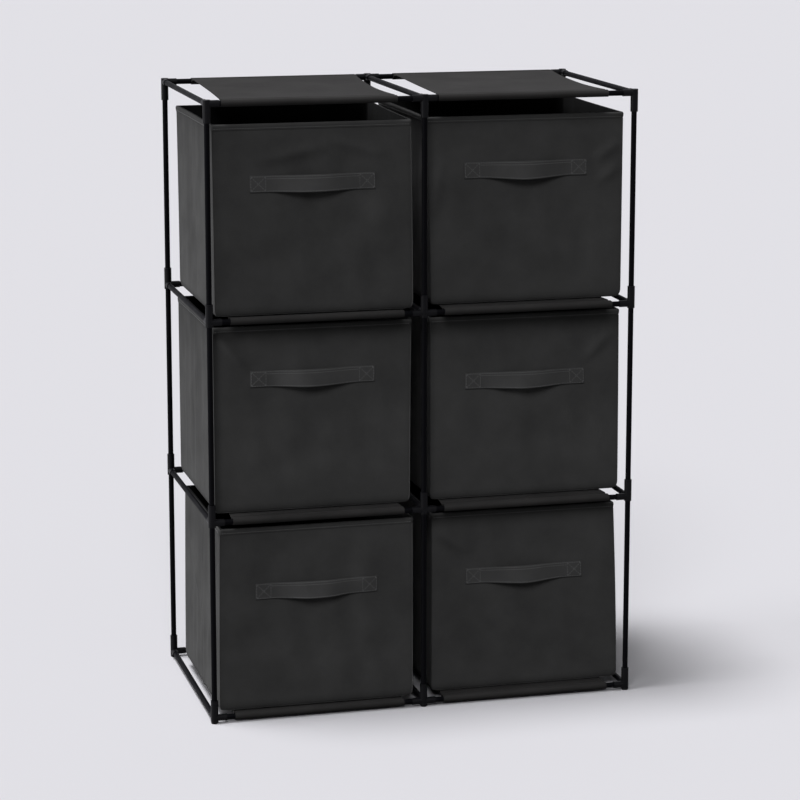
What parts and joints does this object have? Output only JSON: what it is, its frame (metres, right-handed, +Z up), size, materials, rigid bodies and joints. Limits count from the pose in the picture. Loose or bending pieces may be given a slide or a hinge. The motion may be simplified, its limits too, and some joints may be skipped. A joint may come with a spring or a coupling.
{
  "type": "storage shelf with storage boxes",
  "caption": "Free-standing rack of thin black steel tubes pushed into plastic connectors, with cloth shelves and pull-out open-top charcoal cloth boxes that have a front strap handle.",
  "frame": {"origin": "on the floor, midway between the outer posts and between the front and back posts", "axes": "+X to the right seen from the front, +Y from front to back, +Z up"},
  "size_m": [0.645, 0.351, 0.914],
  "materials": {
    "steel_tube": "satin black powder coat on thin steel tube",
    "connector_plastic": "black moulded plastic",
    "shelf_cloth": "charcoal non-woven cloth",
    "box_cloth": "charcoal non-woven cloth over board",
    "lining_cloth": "thin black non-woven lining",
    "stiffening_board": "grey pulp board",
    "strap_webbing": "charcoal folded cloth strap, cross-stitched at both ends"
  },
  "bodies": {
    "frame": {"upright_front_left": "steel_tube", "upright_front_middle": "steel_tube", "upright_front_right": "steel_tube", "upright_back_left": "steel_tube", "upright_back_middle": "steel_tube", "upright_back_right": "steel_tube", "width_rails_bottom": "steel_tube", "depth_rails_bottom": "steel_tube", "corner_connectors_bottom": "connector_plastic", "middle_connectors_bottom": "connector_plastic", "shelf_bottom_left": "shelf_cloth", "shelf_bottom_right": "shelf_cloth", "width_rails_lower": "steel_tube", "depth_rails_lower": "steel_tube", "corner_connectors_lower": "connector_plastic", "middle_connectors_lower": "connector_plastic", "shelf_lower_left": "shelf_cloth", "shelf_lower_right": "shelf_cloth", "width_rails_upper": "steel_tube", "depth_rails_upper": "steel_tube", "corner_connectors_upper": "connector_plastic", "middle_connectors_upper": "connector_plastic", "shelf_upper_left": "shelf_cloth", "shelf_upper_right": "shelf_cloth", "width_rails_top": "steel_tube", "depth_rails_top": "steel_tube", "corner_connectors_top": "connector_plastic", "middle_connectors_top": "connector_plastic", "shelf_top_left": "shelf_cloth", "shelf_top_right": "shelf_cloth"},
    "box_bottom_left": {"box_bottom_left_cover": "box_cloth", "box_bottom_left_lining": "lining_cloth", "box_bottom_left_boards": "stiffening_board", "box_bottom_left_handle": "strap_webbing"},
    "base_bottom_left": {"box_bottom_left_base": "stiffening_board"},
    "box_bottom_right": {"box_bottom_right_cover": "box_cloth", "box_bottom_right_lining": "lining_cloth", "box_bottom_right_boards": "stiffening_board", "box_bottom_right_handle": "strap_webbing"},
    "base_bottom_right": {"box_bottom_right_base": "stiffening_board"},
    "box_middle_left": {"box_middle_left_cover": "box_cloth", "box_middle_left_lining": "lining_cloth", "box_middle_left_boards": "stiffening_board", "box_middle_left_handle": "strap_webbing"},
    "base_middle_left": {"box_middle_left_base": "stiffening_board"},
    "box_middle_right": {"box_middle_right_cover": "box_cloth", "box_middle_right_lining": "lining_cloth", "box_middle_right_boards": "stiffening_board", "box_middle_right_handle": "strap_webbing"},
    "base_middle_right": {"box_middle_right_base": "stiffening_board"},
    "box_top_left": {"box_top_left_cover": "box_cloth", "box_top_left_lining": "lining_cloth", "box_top_left_boards": "stiffening_board", "box_top_left_handle": "strap_webbing"},
    "base_top_left": {"box_top_left_base": "stiffening_board"},
    "box_top_right": {"box_top_right_cover": "box_cloth", "box_top_right_lining": "lining_cloth", "box_top_right_boards": "stiffening_board", "box_top_right_handle": "strap_webbing"},
    "base_top_right": {"box_top_right_base": "stiffening_board"}
  },
  "joints": [
    {"name": "box_bottom_left_pull", "type": "slide", "parent": "frame", "child": "box_bottom_left", "axis": [0, -1, 0], "range_m": [-0.053, 0.303]},
    {"name": "base_bottom_left_lift", "type": "slide", "parent": "box_bottom_left", "child": "base_bottom_left", "axis": [0, 0, 1], "range_m": [0, 0.24]},
    {"name": "box_bottom_right_pull", "type": "slide", "parent": "frame", "child": "box_bottom_right", "axis": [0, -1, 0], "range_m": [-0.04, 0.316]},
    {"name": "base_bottom_right_lift", "type": "slide", "parent": "box_bottom_right", "child": "base_bottom_right", "axis": [0, 0, 1], "range_m": [0, 0.24]},
    {"name": "box_middle_left_pull", "type": "slide", "parent": "frame", "child": "box_middle_left", "axis": [0, -1, 0], "range_m": [-0.035, 0.321]},
    {"name": "base_middle_left_lift", "type": "slide", "parent": "box_middle_left", "child": "base_middle_left", "axis": [0, 0, 1], "range_m": [0, 0.24]},
    {"name": "box_middle_right_pull", "type": "slide", "parent": "frame", "child": "box_middle_right", "axis": [0, -1, 0], "range_m": [-0.032, 0.324]},
    {"name": "base_middle_right_lift", "type": "slide", "parent": "box_middle_right", "child": "base_middle_right", "axis": [0, 0, 1], "range_m": [0, 0.24]},
    {"name": "box_top_left_pull", "type": "slide", "parent": "frame", "child": "box_top_left", "axis": [0, -1, 0], "range_m": [-0.053, 0.303]},
    {"name": "base_top_left_lift", "type": "slide", "parent": "box_top_left", "child": "base_top_left", "axis": [0, 0, 1], "range_m": [0, 0.24]},
    {"name": "box_top_right_pull", "type": "slide", "parent": "frame", "child": "box_top_right", "axis": [0, -1, 0], "range_m": [-0.032, 0.324]},
    {"name": "base_top_right_lift", "type": "slide", "parent": "box_top_right", "child": "base_top_right", "axis": [0, 0, 1], "range_m": [0, 0.24]}
  ]
}
